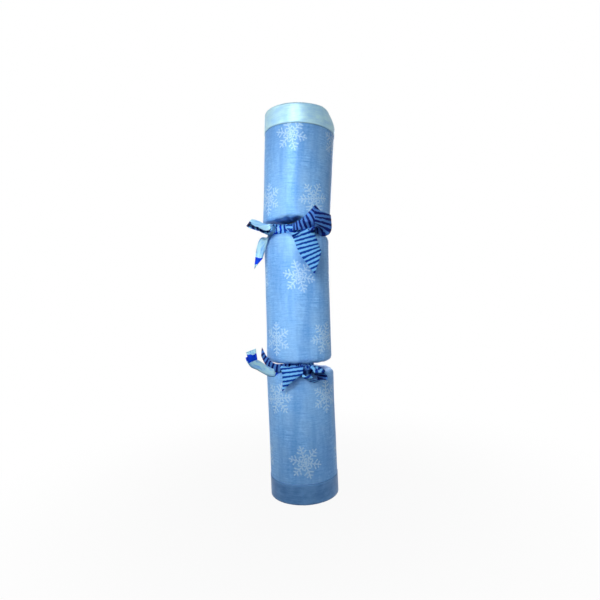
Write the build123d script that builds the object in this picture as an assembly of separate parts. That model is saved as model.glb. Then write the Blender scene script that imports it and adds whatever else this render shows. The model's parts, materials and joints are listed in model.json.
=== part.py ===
from build123d import *
import os
from math import cos, pi, radians, sin, sqrt, tan

# A table cracker that stands on its lower rim: three card tubes in one paper wrap, choked between
# them, with a ribbon tied round each choke, a snap through both chokes and the gifts in the barrel.
# Millimetres and degrees. The origin is the centre of the lower rim, +Z is up, the bows face -Y.

# Lengths between the rims and the middles of the chokes, and the bends at the chokes
LOWER_END_LENGTH = 100.8
BARREL_LENGTH = 107.4
UPPER_END_LENGTH = 91.8
LOWER_BEND = 1.0
UPPER_BEND = 3.3

# Outer diameters of the paper
BARREL_DIAMETER = 51.5
LOWER_END_DIAMETER = 53.2
UPPER_CHOKE_DIAMETER = 53.5
UPPER_RIM_DIAMETER = 56.5

# Sheet thicknesses: paper with its lining, card, foil trim, ribbon, glue line
PAPER = 0.45
CARD = 0.9
FOIL = 0.25
RIBBON = 0.5
GLUE = 0.05

# Chokes: half the gap between the two shoulders, the shoulders' rounding and the drop to the lips
UPPER_HALF_GAP = 4.2
LOWER_HALF_GAP = 3.5
SHOULDER_ROUNDING = 3.5
UPPER_BARREL_ROUNDING = 4.5
UPPER_END_ROUNDING = 1.8
ROUNDING_STEPS = 4
LIP_DROP = 0.7
PLEATS = 16
NECK_PLEAT_DEPTH = 1.6
LIP_PLEAT_DEPTH = 2.4
NECK_WALL = 0.6
NECK_OVERLAP = 0.2
TEAR_GAP = 0.7
LIP_WIDTH = 1.1

# Trim bands and the glued overlap of the sheet down the back
BAND_WIDTH = 15.0
SEAM_WIDTH = 10.0
SEAM_INSET = 2.0

# Ribbons: full width, the rope that each makes round its neck, and its knot at the front left
RIBBON_WIDTH = 17.5
ROPE_RADIAL = 1.8
ROPE_AXIAL = 1.2
ROPE_CLEARANCE = 0.3
KNOT_TURN = -17.5
KNOT_ACROSS = 4.6
KNOT_RADIAL = 3.8
KNOT_AXIAL = 2.1
KNOT_BEVEL = 1.4
RIBBON_BEND = 1.0

# Tails and loops of the ribbons: the turn from the front, the width, the slant of a tail's cut end, the
# lean to the right, and the side view: distances out from the paper's face and up from the choke's middle
UPPER_FRONT_TAIL = {"turn": 10, "width": RIBBON_WIDTH, "loop": False, "slant": 36, "lean": 13,
                    "route": [(0.9, -0.3), (1.3, -28.0)]}
UPPER_LEFT_TAIL = {"turn": -52, "width": 9.0, "loop": False, "slant": -50, "lean": 0,
                   "route": [(1.4, -0.6), (6.0, -32.0)]}
UPPER_LEFT_LOOP = {"turn": -62, "width": 13.0, "loop": True, "lean": 0,
                   "route": [(0.5, 0.4), (8.0, 3.8), (17.0, 3.4), (17.0, -1.4), (7.0, -2.6), (0.0, -0.8)]}
UPPER_RIGHT_LOOP = {"turn": 30, "width": RIBBON_WIDTH, "loop": False, "slant": 0, "lean": -8,
                    "route": [(2.0, 0.6), (2.2, 13.6), (6.2, 14.4), (5.0, -5.0)]}
LOWER_FRONT_TAIL = {"turn": -10, "width": RIBBON_WIDTH, "loop": False, "slant": 29, "lean": 0,
                    "route": [(0.9, -0.9), (1.2, -11.5)]}
LOWER_RIGHT_LOOP = {"turn": 26, "width": 10.0, "loop": False, "slant": 0, "lean": 0,
                    "route": [(0.8, -0.9), (1.4, -9.2), (9.5, -9.0), (9.8, 0.6), (2.6, 0.4)]}
LOWER_RIGHT_TAIL = {"turn": 46, "width": 12.0, "loop": False, "slant": -25, "lean": 0,
                    "route": [(1.0, -0.9), (2.4, -6.0)]}
LOWER_LEFT_TAIL = {"turn": -60, "width": 11.0, "loop": False, "slant": 30, "lean": 0,
                   "route": [(3.5, -0.9), (13.5, 12.0)]}
LOWER_SIDE_TAIL = {"turn": -38, "width": 7.0, "loop": False, "slant": 55, "lean": 0,
                   "route": [(2.2, -0.9), (3.8, 14.0)]}

# Snap: two card strips that overlap in a sleeve at the middle of the barrel
SNAP_WIDTH = 12.0
SNAP_CARD = 0.5
SNAP_OVERLAP = 27.0
SNAP_PAST_NECK = 30.0
SNAP_SPLIT = 0.3
SNAP_PINCH = 0.5
PATCH_LENGTH = 7.0
PATCH_MARGIN = 1.0
PATCH_THICKNESS = 0.1
SLEEVE_LENGTH = 26.0
SLEEVE_CLEARANCE = 0.3
SLEEVE_WALL = 0.4

# Gifts in the barrel
SEAT_CLEARANCE = 0.3
SIDE_CLEARANCE = 1.2
CROWN_DIAMETER = 19.5
CROWN_HEIGHT = 78.0
CROWN_TISSUE = 0.5
CROWN_ROLL_GAP = 0.9
CROWN_TURNS = 3
CROWN_POINTS = 5
CROWN_POINT_DEPTH = 14.0
CROWN_BAND_HEIGHT = 12.0
CROWN_BAND_WALL = 0.3
CROWN_BAND_CLEARANCE = 0.2
MOTTO_DIAMETER = 7.0
MOTTO_HEIGHT = 45.0
MOTTO_SHEET = 0.3
MOTTO_ROLL_GAP = 0.6
MOTTO_TURNS = 2
TOP_SIDES = 6
TOP_DIAMETER = 21.0
TOP_RIM_HEIGHT = 9.0
TOP_POINT_HEIGHT = 9.0
TOP_CROWN_HEIGHT = 3.0
TOP_TIP_DIAMETER = 2.4
TOP_NECK_DIAMETER = 9.0
STEM_DIAMETER = 3.5
STEM_LENGTH = 16.0
STEM_SEAT = 5.0
STEM_FIT = 0.05
STEM_BEVEL = 0.5

# Worked out from the sizes above
BARREL_RADIUS = BARREL_DIAMETER / 2
BARREL_BORE = BARREL_RADIUS - PAPER - GLUE - CARD
NECK_VALLEY = SNAP_WIDTH / 2 + SNAP_PINCH + NECK_WALL
NECK_RIDGE = NECK_VALLEY + NECK_PLEAT_DEPTH
TEAR_RADIUS = NECK_RIDGE + TEAR_GAP
LIP_VALLEY = TEAR_RADIUS + LIP_WIDTH
LIP_RIDGE = LIP_VALLEY + LIP_PLEAT_DEPTH
ROPE_RADIUS = NECK_RIDGE + ROPE_CLEARANCE + ROPE_RADIAL
KNOT_RADIUS = ROPE_RADIUS + ROPE_RADIAL + KNOT_RADIAL / 2
CUT_MARGIN = 1.0

LOWER_NECK = Location((0, 0, LOWER_END_LENGTH))
BARREL_PLACE = LOWER_NECK * Location((0, 0, 0), (0, LOWER_BEND, 0))
UPPER_NECK = BARREL_PLACE * Location((0, 0, BARREL_LENGTH))
UPPER_END_PLACE = UPPER_NECK * Location((0, 0, 0), (0, UPPER_BEND, 0))
LOWER_END_PLACE = LOWER_NECK * Location((0, 0, 0), (0, 180, 0))
UPSIDE_DOWN = Location((0, 0, BARREL_LENGTH), (0, 180, 0))


def pleat_corners(ridge, valley, height):
    """Corners of a pleated outline, ridges and valleys in turn."""
    corners = []
    for step in range(2 * PLEATS):
        radius = valley if step % 2 else ridge
        angle = pi * step / PLEATS
        corners.append((radius * cos(angle), radius * sin(angle), height))
    return corners


def ring_corners(radius, height, count):
    """Corners of a regular outline."""
    angles = [2 * pi * corner / count for corner in range(count)]
    return [(radius * cos(angle), radius * sin(angle), height) for angle in angles]


def flat_face(*corners):
    """A flat face between its corners."""
    return Face(Wire.make_polygon(corners, close=True))


def pleated_cone(ridge, valley, lip, radius, height):
    """Gathered paper from the pleated lip out to the smooth shoulder, creased into flat triangles."""
    inner = pleat_corners(ridge, valley, lip)
    outer = ring_corners(radius, height, PLEATS)
    faces = [flat_face(*inner), flat_face(*outer)]
    for pleat in range(PLEATS):
        after = (pleat + 1) % PLEATS
        crest, fold, next_crest = inner[2 * pleat], inner[2 * pleat + 1], inner[2 * after]
        faces.append(flat_face(crest, fold, outer[pleat]))
        faces.append(flat_face(fold, outer[after], outer[pleat]))
        faces.append(flat_face(fold, next_crest, outer[after]))
    return Solid(Shell(faces))


def pleated_tube(ridge, valley, low, high):
    """The gathered neck as a straight fluted bar."""
    return Solid.extrude(flat_face(*pleat_corners(ridge, valley, low)), Vector(0, 0, high - low))


def turned(outline, arc=360):
    """A solid of revolution about +Z, from a closed outline in radius and height."""
    return revolve(make_face(Plane.XZ * outline), Axis.Z, arc)


def rounded_corner(centre, radius, way):
    """Points of a rolled shoulder from its flat out to its side, way 1 up the side and -1 down it."""
    points = []
    for step in range(ROUNDING_STEPS + 1):
        angle = pi / 2 * step / ROUNDING_STEPS
        points.append((centre[0] + radius * sin(angle), centre[1] - way * radius * cos(angle)))
    return points


def end_core(length, choke_radius, rim_radius, half_gap, rounding, ridge, valley, inset, past):
    """Solid filling of an end section, inset from its outer face, from its lip out past its rim."""
    centre = (choke_radius - rounding, half_gap + rounding)
    floor = half_gap + inset
    flare = (rim_radius - choke_radius) / (length - centre[1])
    outline = Polyline(
        (0, floor), *rounded_corner(centre, rounding - inset, 1),
        (rim_radius - inset + flare * past, length + past), (0, length + past), close=True)
    return turned(outline) + pleated_cone(ridge, valley, floor - LIP_DROP, centre[0], floor)


def seam_strip(radius_low, radius_high, low, high):
    """The sheet's glued edge, lying down the back one paper proud of the wrap."""
    turn = SEAM_WIDTH / max(radius_low, radius_high) * 180 / pi
    inner = GLUE - PAPER
    outline = Polyline(
        (radius_low + inner, low), (radius_low + PAPER, low),
        (radius_high + PAPER, high), (radius_high + inner, high), close=True)
    return turned(outline, turn).rotate(Axis.Z, 90 - turn / 2)


def end_wrap(length, choke_diameter, rim_diameter, half_gap, rounding, necked):
    """Paper of an end section: a gathered neck, or a lip that ends at the tear line."""
    choke_radius = choke_diameter / 2
    rim_radius = rim_diameter / 2
    size = (length, choke_radius, rim_radius, half_gap, rounding)
    lip = half_gap - LIP_DROP
    if necked:
        wrap = end_core(*size, NECK_RIDGE, NECK_VALLEY, 0, 0)
        wrap += pleated_tube(NECK_RIDGE, NECK_VALLEY, -lip - NECK_OVERLAP, lip)
        wrap -= end_core(*size, NECK_RIDGE - NECK_WALL, NECK_VALLEY - NECK_WALL, PAPER, CUT_MARGIN)
        wrap -= pleated_tube(NECK_RIDGE - NECK_WALL, NECK_VALLEY - NECK_WALL, -half_gap, half_gap)
    else:
        wrap = end_core(*size, LIP_RIDGE, LIP_VALLEY, 0, 0)
        wrap -= end_core(*size, LIP_RIDGE, LIP_VALLEY, PAPER, CUT_MARGIN)
        wrap -= Cylinder(TEAR_RADIUS, 2 * half_gap)
    low = half_gap + rounding + SEAM_INSET
    high = length - BAND_WIDTH - SEAM_INSET
    return wrap + seam_strip(end_radius(low, *size), end_radius(high, *size), low, high)


def end_radius(height, length, choke_radius, rim_radius, half_gap, rounding):
    """Outer radius of an end section's paper at a distance from the choke's middle."""
    start = half_gap + rounding
    return choke_radius + (rim_radius - choke_radius) * (height - start) / (length - start)


def barrel_core(inset, lip_ridge, lip_valley, neck_ridge, neck_valley):
    """Solid filling of the barrel, inset from its outer face, with both pleated shoulders."""
    low = LOWER_HALF_GAP + inset
    high = BARREL_LENGTH - UPPER_HALF_GAP - inset
    low_centre = (BARREL_RADIUS - SHOULDER_ROUNDING, LOWER_HALF_GAP + SHOULDER_ROUNDING)
    high_centre = (
        BARREL_RADIUS - UPPER_BARREL_ROUNDING, BARREL_LENGTH - UPPER_HALF_GAP - UPPER_BARREL_ROUNDING)
    outline = Polyline(
        (0, low), *rounded_corner(low_centre, SHOULDER_ROUNDING - inset, 1),
        *reversed(rounded_corner(high_centre, UPPER_BARREL_ROUNDING - inset, -1)), (0, high), close=True)
    core = turned(outline) + pleated_cone(lip_ridge, lip_valley, low - LIP_DROP, low_centre[0], low)
    top = pleated_cone(neck_ridge, neck_valley, BARREL_LENGTH - high - LIP_DROP, high_centre[0],
                       BARREL_LENGTH - high)
    return core + top.moved(UPSIDE_DOWN)


def barrel_wrap():
    """Paper of the barrel: a torn lip below, the gathered upper neck above."""
    lip = UPPER_HALF_GAP - LIP_DROP
    wrap = barrel_core(0, LIP_RIDGE, LIP_VALLEY, NECK_RIDGE, NECK_VALLEY)
    wrap += pleated_tube(NECK_RIDGE, NECK_VALLEY, -lip - NECK_OVERLAP, lip).moved(UPSIDE_DOWN)
    wrap -= barrel_core(PAPER, LIP_RIDGE, LIP_VALLEY, NECK_RIDGE - NECK_WALL, NECK_VALLEY - NECK_WALL)
    bore = pleated_tube(
        NECK_RIDGE - NECK_WALL, NECK_VALLEY - NECK_WALL, -UPPER_HALF_GAP, UPPER_HALF_GAP)
    wrap -= bore.moved(UPSIDE_DOWN)
    wrap -= Cylinder(TEAR_RADIUS, 2 * LOWER_HALF_GAP)
    low = LOWER_HALF_GAP + SHOULDER_ROUNDING + SEAM_INSET
    high = BARREL_LENGTH - UPPER_HALF_GAP - UPPER_BARREL_ROUNDING - SEAM_INSET
    return wrap + seam_strip(BARREL_RADIUS, BARREL_RADIUS, low, high)


def sleeve_ring(radius_low, radius_high, low, high, wall):
    """A thin straight or flared ring, its outer radius given at both ends."""
    outline = Polyline(
        (radius_low - wall, low), (radius_low, low),
        (radius_high, high), (radius_high - wall, high), close=True)
    return turned(outline)


def end_tube(length, choke_diameter, rim_diameter, half_gap, rounding):
    """Card former inside an end's paper, flush with the rim."""
    low = half_gap + rounding
    inset = PAPER + GLUE
    return sleeve_ring(choke_diameter / 2 - inset, rim_diameter / 2 - inset, low, length, CARD)


def trim_band(length, choke_diameter, rim_diameter, half_gap, rounding):
    """Foil strip glued round the rim."""
    low = length - BAND_WIDTH
    proud = GLUE + FOIL
    low_radius = end_radius(low, length, choke_diameter / 2, rim_diameter / 2, half_gap, rounding)
    return sleeve_ring(low_radius + proud, rim_diameter / 2 + proud, low, length, FOIL)


def barrel_tube():
    """Card tube of the barrel, between the two rounded shoulders."""
    low = LOWER_HALF_GAP + SHOULDER_ROUNDING
    high = BARREL_LENGTH - UPPER_HALF_GAP - UPPER_BARREL_ROUNDING
    radius = BARREL_RADIUS - PAPER - GLUE
    return sleeve_ring(radius, radius, low, high, CARD)


def ribbon_piece(shape, face_radius):
    """One tail or loop, bent out of the choke from the rope and along its route."""
    route = [(face_radius + out, up) for out, up in shape["route"]]
    path = [(ROPE_RADIUS, route[0][1])] + route
    if shape["loop"]:
        path.append((ROPE_RADIUS, route[-1][1]))
    else:
        path[-1] = cut_allowance(route, shape)
    line = FilletPolyline(*path, radius=RIBBON_BEND)
    side = Face(line.offset_2d(RIBBON, side=Side.LEFT, closed=True))
    flat = extrude(Plane.YZ * Rot(0, 180, 0) * side, shape["width"] / 2, both=True)
    if not shape["loop"]:
        flat -= slanted_cut(route, shape)
    start = Pos(0, 0, route[0][1])
    leant = start * Rot(0, -shape["lean"], 0) * start.inverse() * flat
    return leant.rotate(Axis.Z, shape["turn"])


def cut_allowance(route, shape):
    """End of a tail before its slanted cut: longer by what the cut takes on one side."""
    end = Vector(*route[-1])
    along = (end - Vector(*route[-2])).normalized()
    further = end + along * (shape["width"] / 2 * tan(radians(abs(shape["slant"]))) + CUT_MARGIN)
    return (further.X, further.Y)


def slanted_cut(route, shape):
    """Block that takes the end of a tail off at a slant, through the middle of its end."""
    out, up = route[-1]
    away = 1 if up > route[0][1] else -1
    across = 4 * shape["width"]
    block = Pos(0, 0, away * across / 2) * Box(across, across, across)
    return Pos(0, -out, up) * Rot(0, -shape["slant"], 0) * block


def knotted_rope():
    """The ribbon round the neck, drawn into a rope, with its knot at the front."""
    flat = ROPE_AXIAL / 2
    outline = Polyline(
        (ROPE_RADIUS - ROPE_RADIAL, -flat), (ROPE_RADIUS, -ROPE_AXIAL), (ROPE_RADIUS + ROPE_RADIAL, -flat),
        (ROPE_RADIUS + ROPE_RADIAL, flat), (ROPE_RADIUS, ROPE_AXIAL), (ROPE_RADIUS - ROPE_RADIAL, flat),
        close=True)
    knot = Box(2 * KNOT_ACROSS, 2 * KNOT_RADIAL, 2 * KNOT_AXIAL)
    knot = chamfer(knot.edges(), KNOT_BEVEL)
    return turned(outline) + (Pos(0, -KNOT_RADIUS, 0) * knot).rotate(Axis.Z, KNOT_TURN)


def ribbon(pieces):
    """A whole tied ribbon, from pairs of a tail or loop and the radius of the paper that it lies on."""
    return knotted_rope() + [ribbon_piece(shape, face_radius) for shape, face_radius in pieces]


def snap_strip(side):
    """Card strip of the snap: side 1 runs up past the upper neck, side -1 down past the lower one."""
    middle = BARREL_LENGTH / 2
    length = middle + SNAP_PAST_NECK + SNAP_OVERLAP / 2
    place = Pos(0, side * (SNAP_SPLIT + SNAP_CARD) / 2, middle + side * (length - SNAP_OVERLAP) / 2)
    return place * Box(SNAP_WIDTH, SNAP_CARD, length)


def snap_patch(side):
    """Friction patch on the inner face of a snap strip."""
    place = Pos(0, side * (SNAP_SPLIT - PATCH_THICKNESS) / 2, BARREL_LENGTH / 2)
    return place * Box(SNAP_WIDTH - 2 * PATCH_MARGIN, PATCH_THICKNESS, PATCH_LENGTH)


def snap_sleeve():
    """Paper sleeve round the overlap of the two strips."""
    width = SNAP_WIDTH + 2 * SLEEVE_CLEARANCE
    depth = SNAP_SPLIT + 2 * SNAP_CARD + 2 * SLEEVE_CLEARANCE
    outside = Box(width + 2 * SLEEVE_WALL, depth + 2 * SLEEVE_WALL, SLEEVE_LENGTH)
    return Pos(0, 0, BARREL_LENGTH / 2) * (outside - Box(width, depth, 2 * SLEEVE_LENGTH))


def shoulder_floor(radius):
    """Highest point of the barrel's lower shoulder, inside, at a radius."""
    flat_radius = BARREL_RADIUS - SHOULDER_ROUNDING
    floor = LOWER_HALF_GAP + PAPER
    if radius > flat_radius:
        rounding = SHOULDER_ROUNDING - PAPER
        return floor + rounding - sqrt(rounding**2 - (radius - flat_radius) ** 2)
    return floor - LIP_DROP * (flat_radius - radius) / (flat_radius - LIP_VALLEY)


def rolled_sheet(diameter, sheet, gap, turns, height):
    """A sheet rolled up from the outside in, each half turn an arc."""
    pitch = sheet + gap
    radius = diameter / 2
    arcs = []
    for half in range(2 * turns):
        left = half % 2
        middle = -pitch / 2 if left else 0
        arcs.append(CenterArc((middle, 0), radius, 180 * left, 180))
        radius -= pitch / 2
    edges = [edge for arc in arcs for edge in arc.edges()]
    face = Face(Wire(edges).offset_2d(sheet, side=Side.RIGHT, closed=True))
    return extrude(face, height, dir=(0, 0, 1))


def paper_crown():
    """Rolled tissue crown with its zigzag edge up."""
    roll = rolled_sheet(CROWN_DIAMETER, CROWN_TISSUE, CROWN_ROLL_GAP, CROWN_TURNS, CROWN_HEIGHT)
    half = CROWN_DIAMETER / 2 * tan(pi / CROWN_POINTS)
    notch = Polyline(
        (-half, CROWN_HEIGHT), (0, CROWN_HEIGHT - CROWN_POINT_DEPTH), (half, CROWN_HEIGHT), close=True)
    wedge = extrude(make_face(Plane.XZ * notch), CROWN_DIAMETER)
    for point in range(CROWN_POINTS):
        roll -= wedge.rotate(Axis.Z, 360 * point / CROWN_POINTS)
    return roll


def crown_band():
    """Paper band round the middle of the rolled crown."""
    radius = CROWN_DIAMETER / 2 + CROWN_BAND_CLEARANCE + CROWN_BAND_WALL
    low = (CROWN_HEIGHT - CROWN_BAND_HEIGHT) / 2
    return sleeve_ring(radius, radius, low, low + CROWN_BAND_HEIGHT, CROWN_BAND_WALL)


def top_body():
    """Six-sided body of the spinning top, with the hole for its stem."""
    heights = [0, TOP_POINT_HEIGHT, TOP_POINT_HEIGHT + TOP_RIM_HEIGHT]
    heights.append(heights[-1] + TOP_CROWN_HEIGHT)
    diameters = [TOP_TIP_DIAMETER, TOP_DIAMETER, TOP_DIAMETER, TOP_NECK_DIAMETER]
    rings = [
        ring_corners(diameter / 2, height, TOP_SIDES) for height, diameter in zip(heights, diameters)]
    faces = [flat_face(*rings[0]), flat_face(*rings[-1])]
    for below, above in zip(rings, rings[1:]):
        for side in range(TOP_SIDES):
            after = (side + 1) % TOP_SIDES
            faces.append(flat_face(below[side], below[after], above[after], above[side]))
    hole = Cylinder(STEM_DIAMETER / 2 + STEM_FIT, 2 * STEM_SEAT)
    return Solid(Shell(faces)) - Pos(0, 0, heights[-1]) * hole


def top_stem():
    """Stem of the spinning top, standing on the floor of its hole."""
    stem = Cylinder(STEM_DIAMETER / 2, STEM_LENGTH, align=(Align.CENTER, Align.CENTER, Align.MIN))
    stem = chamfer(stem.edges().group_by(Axis.Z)[-1], STEM_BEVEL)
    return Pos(0, 0, TOP_POINT_HEIGHT + TOP_RIM_HEIGHT + TOP_CROWN_HEIGHT - STEM_SEAT) * stem


upper_end = (
    UPPER_END_LENGTH, UPPER_CHOKE_DIAMETER, UPPER_RIM_DIAMETER, UPPER_HALF_GAP, UPPER_END_ROUNDING)
lower_end = (
    LOWER_END_LENGTH, LOWER_END_DIAMETER, LOWER_END_DIAMETER, LOWER_HALF_GAP, SHOULDER_ROUNDING)
upper_face = max(BARREL_RADIUS, UPPER_CHOKE_DIAMETER / 2)
lower_face = max(BARREL_RADIUS, LOWER_END_DIAMETER / 2)
upper_ribbon = [
    (UPPER_FRONT_TAIL, BARREL_RADIUS), (UPPER_LEFT_TAIL, BARREL_RADIUS),
    (UPPER_LEFT_LOOP, upper_face), (UPPER_RIGHT_LOOP, upper_face),
]
lower_ribbon = [
    (LOWER_FRONT_TAIL, LOWER_END_DIAMETER / 2), (LOWER_RIGHT_TAIL, LOWER_END_DIAMETER / 2),
    (LOWER_RIGHT_LOOP, lower_face), (LOWER_LEFT_TAIL, lower_face), (LOWER_SIDE_TAIL, lower_face),
]

crown_reach = CROWN_DIAMETER / 2 + CROWN_BAND_CLEARANCE + CROWN_BAND_WALL
crown_out = BARREL_BORE - SIDE_CLEARANCE - crown_reach
top_out = BARREL_BORE - SIDE_CLEARANCE - TOP_DIAMETER / 2
motto_out = BARREL_BORE - SIDE_CLEARANCE - MOTTO_DIAMETER / 2
CROWN_PLACE = BARREL_PLACE * Pos(
    0, crown_out, shoulder_floor(crown_out + CROWN_DIAMETER / 2) + SEAT_CLEARANCE)
MOTTO_PLACE = BARREL_PLACE * Pos(
    motto_out, 0, shoulder_floor(motto_out + MOTTO_DIAMETER / 2) + SEAT_CLEARANCE)
TOP_PLACE = BARREL_PLACE * Pos(0, -top_out, shoulder_floor(top_out + TOP_TIP_DIAMETER / 2) + SEAT_CLEARANCE)

parts = {
    "barrel_wrap": BARREL_PLACE * barrel_wrap(),
    "barrel_tube": BARREL_PLACE * barrel_tube(),
    "upper_ribbon": UPPER_NECK * ribbon(upper_ribbon),
    "upper_end_wrap": UPPER_END_PLACE * end_wrap(*upper_end, necked=False),
    "upper_end_tube": UPPER_END_PLACE * end_tube(*upper_end),
    "upper_trim_band": UPPER_END_PLACE * trim_band(*upper_end),
    "lower_end_wrap": LOWER_END_PLACE * end_wrap(*lower_end, necked=True),
    "lower_end_tube": LOWER_END_PLACE * end_tube(*lower_end),
    "lower_trim_band": LOWER_END_PLACE * trim_band(*lower_end),
    "lower_ribbon": LOWER_NECK * ribbon(lower_ribbon),
    "snap_upper_strip": BARREL_PLACE * snap_strip(1),
    "snap_lower_strip": BARREL_PLACE * snap_strip(-1),
    "snap_upper_patch": BARREL_PLACE * snap_patch(1),
    "snap_lower_patch": BARREL_PLACE * snap_patch(-1),
    "snap_sleeve": BARREL_PLACE * snap_sleeve(),
    "paper_crown": CROWN_PLACE * paper_crown(),
    "crown_band": CROWN_PLACE * crown_band(),
    "motto_slip": MOTTO_PLACE * rolled_sheet(
        MOTTO_DIAMETER, MOTTO_SHEET, MOTTO_ROLL_GAP, MOTTO_TURNS, MOTTO_HEIGHT),
    "top_body": TOP_PLACE * top_body(),
    "top_stem": TOP_PLACE * top_stem(),
}

os.makedirs("parts", exist_ok=True)
for name, shape in parts.items():
    export_step(shape, f"parts/{name}.step")
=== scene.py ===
import json
from math import atan2, cos, degrees, exp, pi, radians, sin, sqrt

import bpy
from mathutils import Matrix, Vector, noise

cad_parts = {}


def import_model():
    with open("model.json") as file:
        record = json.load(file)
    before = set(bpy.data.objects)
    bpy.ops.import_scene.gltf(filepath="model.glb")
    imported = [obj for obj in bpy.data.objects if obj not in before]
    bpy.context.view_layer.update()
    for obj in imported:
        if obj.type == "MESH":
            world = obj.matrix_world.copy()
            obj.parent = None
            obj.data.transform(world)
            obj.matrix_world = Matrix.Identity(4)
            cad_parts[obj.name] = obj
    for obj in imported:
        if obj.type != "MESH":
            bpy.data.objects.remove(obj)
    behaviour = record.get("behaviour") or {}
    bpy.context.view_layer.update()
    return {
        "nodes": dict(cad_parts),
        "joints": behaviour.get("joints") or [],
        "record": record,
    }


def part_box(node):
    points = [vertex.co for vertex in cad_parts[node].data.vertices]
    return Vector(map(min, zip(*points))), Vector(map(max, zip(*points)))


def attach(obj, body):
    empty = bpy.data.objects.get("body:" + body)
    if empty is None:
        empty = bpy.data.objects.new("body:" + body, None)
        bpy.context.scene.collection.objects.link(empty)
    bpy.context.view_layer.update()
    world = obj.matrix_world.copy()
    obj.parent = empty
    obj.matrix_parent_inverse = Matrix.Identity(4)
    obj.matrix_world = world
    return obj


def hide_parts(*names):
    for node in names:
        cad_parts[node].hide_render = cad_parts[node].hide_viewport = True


# A standing table cracker in pearly blue paper, with foil round its rims and a striped ribbon tied
# round each choke. Pieces are made in millimetres in the frame of their own section and then placed
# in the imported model's frame, which is in metres: +Z up, the bows towards -Y.

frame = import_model()

MM = 0.001
FULL_TURN = 360

# Paper sizes: sheet, rounding of the shoulders, half of each choke's gap and the drop to the lips
PAPER = 0.4
SHOULDER_ROUNDING = 3.5
UPPER_END_ROUNDING = 1.8
UPPER_BARREL_ROUNDING = 4.5
UPPER_HALF_GAP = 4.2
LOWER_HALF_GAP = 3.5
LIP_DROP = 0.7
UPPER_FLARE = 1.5
CARD_TO_PAPER = 0.5

# Gathers: neck and torn lip of the paper, their folds, how fast one gives way to the next across a
# shoulder, and how far the folds run down the sides
NECK_RADIUS = 7.9
NECK_FOLD = 0.8
NECK_OVERLAP = 0.2
LIP_RADIUS = 11.7
LIP_FOLD = 1.2
SHOULDER_FOLD = 0.9
CORNER_FOLD = 0.35
SIDE_FOLD = 0.45
FOLD_REACH = 7.0
LIP_FADE = 3
SHOULDER_RISE = 4
FOLDS = 16

# Unevenness of the folds in place and in depth: each its size, its count round the choke and its start
FOLD_DRIFTS = ((0.07, 2, 0.6), (0.05, 5, 2.1))
FOLD_DEPTH = 0.72
FOLD_DEPTH_CHANGE = (0.28, 3, 1.2)

# Glued overlap of the sheet down the back, and the mesh of the paper
SEAM_WIDTH = 10.0
SEAM_INSET = 2.0
BAND_WIDTH = 15.0
COLUMNS = 288
SIDE_STEP = 1.4
CORNER_STEPS = 8
SHOULDER_STEPS = 10

# Broad soft waves that run on from the folds, and the unevenness of the paper's faces
WAVES = 5
FINER_WAVES = 8
WAVE_SHARE = 0.7
WAVE_TURN = -15
WAVE_DEPTH = 0.6
WAVE_REACH = 30.0
UNEVEN_DEPTH = 0.2
UNEVEN_ROUND = 17.0
UNEVEN_LONG = 48.0
UNEVEN_EASE = 8.0

# The upper rim is pressed in on its right: where that starts and ends in degrees, its depth and reach
DENT_START = 30
DENT_END = 145
DENT_EASE = 42
DENT_DEPTH = 3.5
DENT_REACH = 9.5
DENT_CURVE = 1.5

# Its gathered lower edge is drawn up at the front: the turn and half width in degrees, height and reach
LIFT_TURN = -2
LIFT_SPAN = 62
LIFT_HEIGHT = 2.6
LIFT_REACH = 11.0

# Foil strips and card: thickness, how far the foil stands proud, its lapped end, and the turns of the ends
FOIL = 0.2
FOIL_PROUD = 0.3
FOIL_LAP = 12.0
UPPER_LAP_TURN = 38
LOWER_LAP_TURN = 3
BAND_ROWS = 12
CARD = 0.9
CARD_ROWS = 60

# Ribbon: width, thickness, stripes, ribs of the weave and blocks on its pale face, which is painted highlight
RIBBON_WIDTH = 17.5
RIBBON_THICKNESS = 0.3
STRIPE = 3.3
STRIPE_DRIFT = 0.35
STRIPE_EDGE = 0.35
RIB = 0.6
HEM_START = 0.46
BLOCK_PITCH = 26.0
BLOCK_LENGTH = 5.2
BLOCK_MARGIN = 5.4
BLOCK_DRIFT = 2.4

# Ribbon that is drawn together: its pleats, the spread at which it turns to them, and its mesh
PLEATS = 3
PLEAT_STEP = 0.5
TROUGH_SPREAD = 0.7
PLEATED_SPREAD = 0.4
LEAST_SPREAD = 0.25
LEAST_BEND = 0.001
TROUGH_BEND = 0.2
ACROSS_STEPS = 18
ALONG_STEP = 0.6
LEAST_STEPS = 8
RUN_SAMPLES = 400

# Ribbon round the neck, the knot over its front as radii and shares of its height, and the open loop
KNOT_TURN = -15
KNOT_SPREAD = 0.36
KNOT_SIDE = ((12.0, 0.8), (16.5, 1.0), (19.0, 0.0), (16.5, -1.0), (12.0, -0.8))
ROPE_RADIUS = 10.9
ROPE_STEP = 30
LOOP_STEPS = 9
LOOP_START = radians(30)
LOOP_SWEEP = radians(330)
LOOP_SPREAD = 0.34

# Foil print on the paper: six-armed flakes in staggered rows
FLAKE_COLUMN = 41.0
FLAKE_ROW = 47.0
FLAKE_ARM = 13.0
FLAKE_LINE = 0.55
FLAKE_START = 8.0
FLAKE_RING = 0.2
FLAKE_BRANCHES = ((0.30, 0.24), (0.52, 0.34), (0.74, 0.22))
BRANCH_ANGLE = pi / 3

# Scale of the grain in the paper, foil and ribbon, along and across or as one number
FIBRE_SCALE = (0.09, 1.6, 1.0)
MOTTLE_SCALE = 0.55
CLOUD_SCALE = 0.045
STREAK_SCALE = (0.14, 0.022, 1.0)
WEAR_SCALE = 0.9
FOIL_LINE_SCALE = (0.05, 0.05, 2.6)
CRINKLE_SCALE = (0.12, 0.12, 0.22)
THREAD_SCALE = (4.5, 0.5, 1.0)
HIGHLIT_SCALE = (0.1, 0.7, 1.0)

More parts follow.
